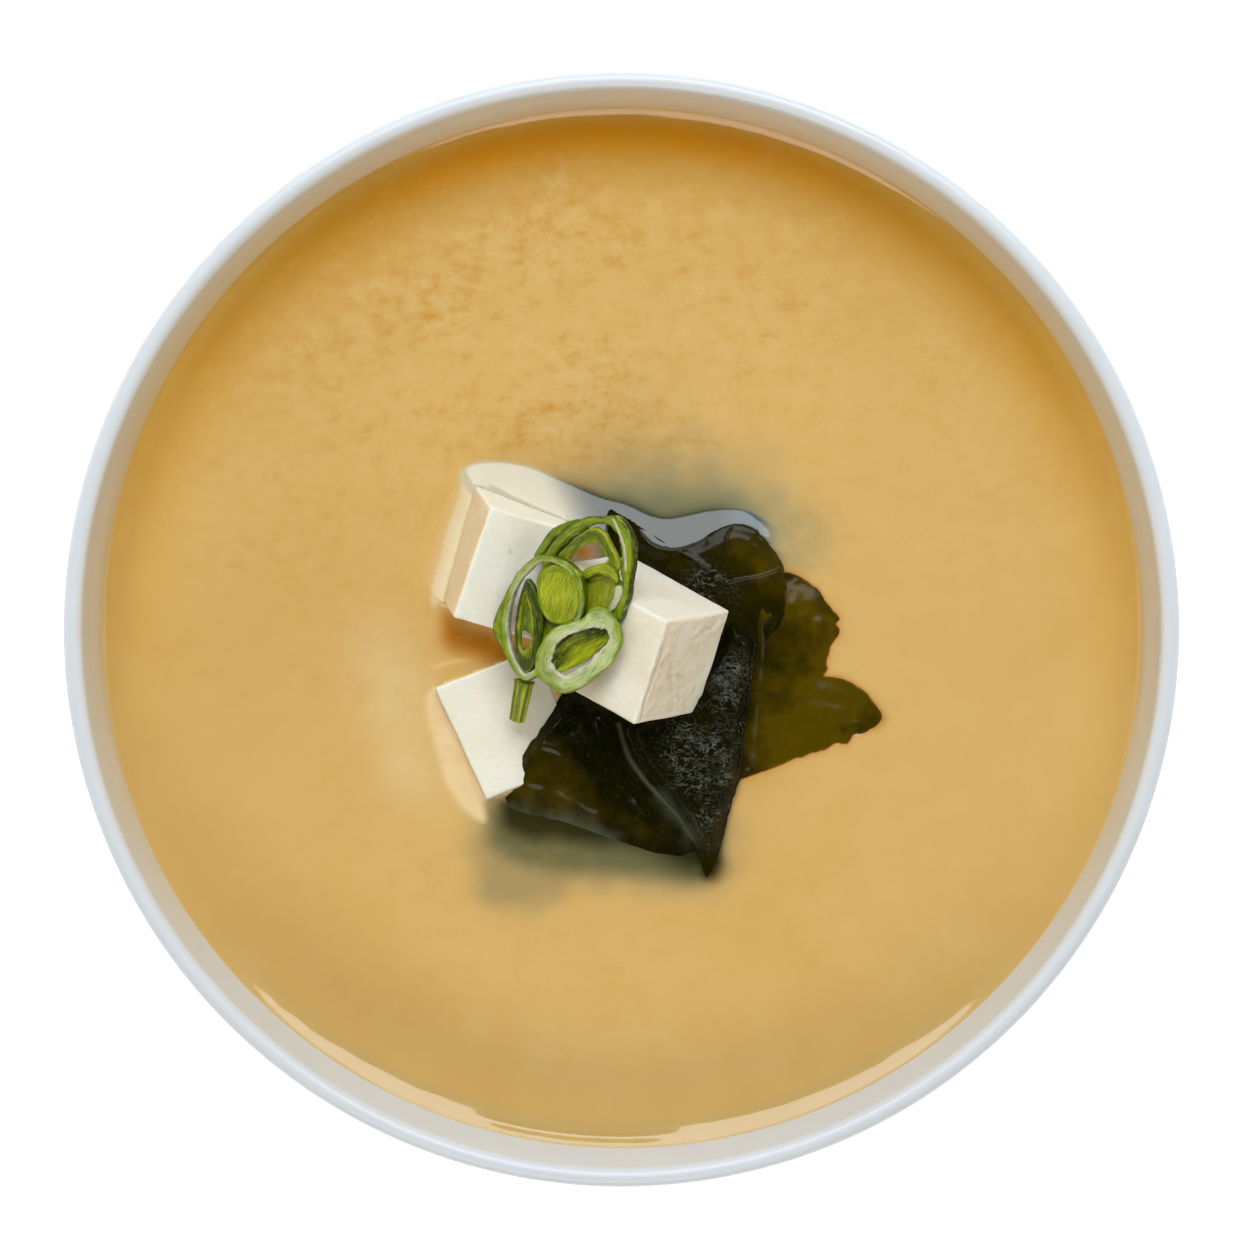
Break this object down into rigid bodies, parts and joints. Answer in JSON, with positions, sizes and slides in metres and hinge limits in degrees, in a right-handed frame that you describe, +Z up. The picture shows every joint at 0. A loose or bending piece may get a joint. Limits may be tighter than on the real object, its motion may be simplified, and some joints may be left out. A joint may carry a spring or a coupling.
{
  "type": "miso soup in a bowl",
  "caption": "Round white porcelain bowl of miso soup with tofu blocks, wakame seaweed and slices of spring onion.",
  "frame": {"origin": "centre of the foot ring on the surface that the bowl stands on", "axes": "+Z up along the bowl's axis, +Y to the back of the bowl, +X to its right"},
  "size_m": [0.12, 0.12, 0.0618],
  "materials": {
    "porcelain": "clear glaze over white porcelain",
    "miso": "cloudy golden broth with a wet surface",
    "tofu": "moist, finely pored bean curd",
    "wakame": "wet dark green seaweed",
    "onion": "moist fresh green slices"
  },
  "bodies": {
    "root": {"bowl": "porcelain", "soup": "miso", "tofu_left": "tofu", "tofu_right": "tofu", "tofu_front": "tofu", "wakame_right": "wakame", "wakame_back": "wakame", "wakame_fold": "wakame", "wakame_front": "wakame", "onion_back": "onion", "onion_back_inner": "onion", "onion_left": "onion", "onion_left_inner": "onion", "onion_heart": "onion", "onion_front": "onion", "onion_front_inner": "onion", "onion_stalk": "onion"}
  },
  "joints": []
}
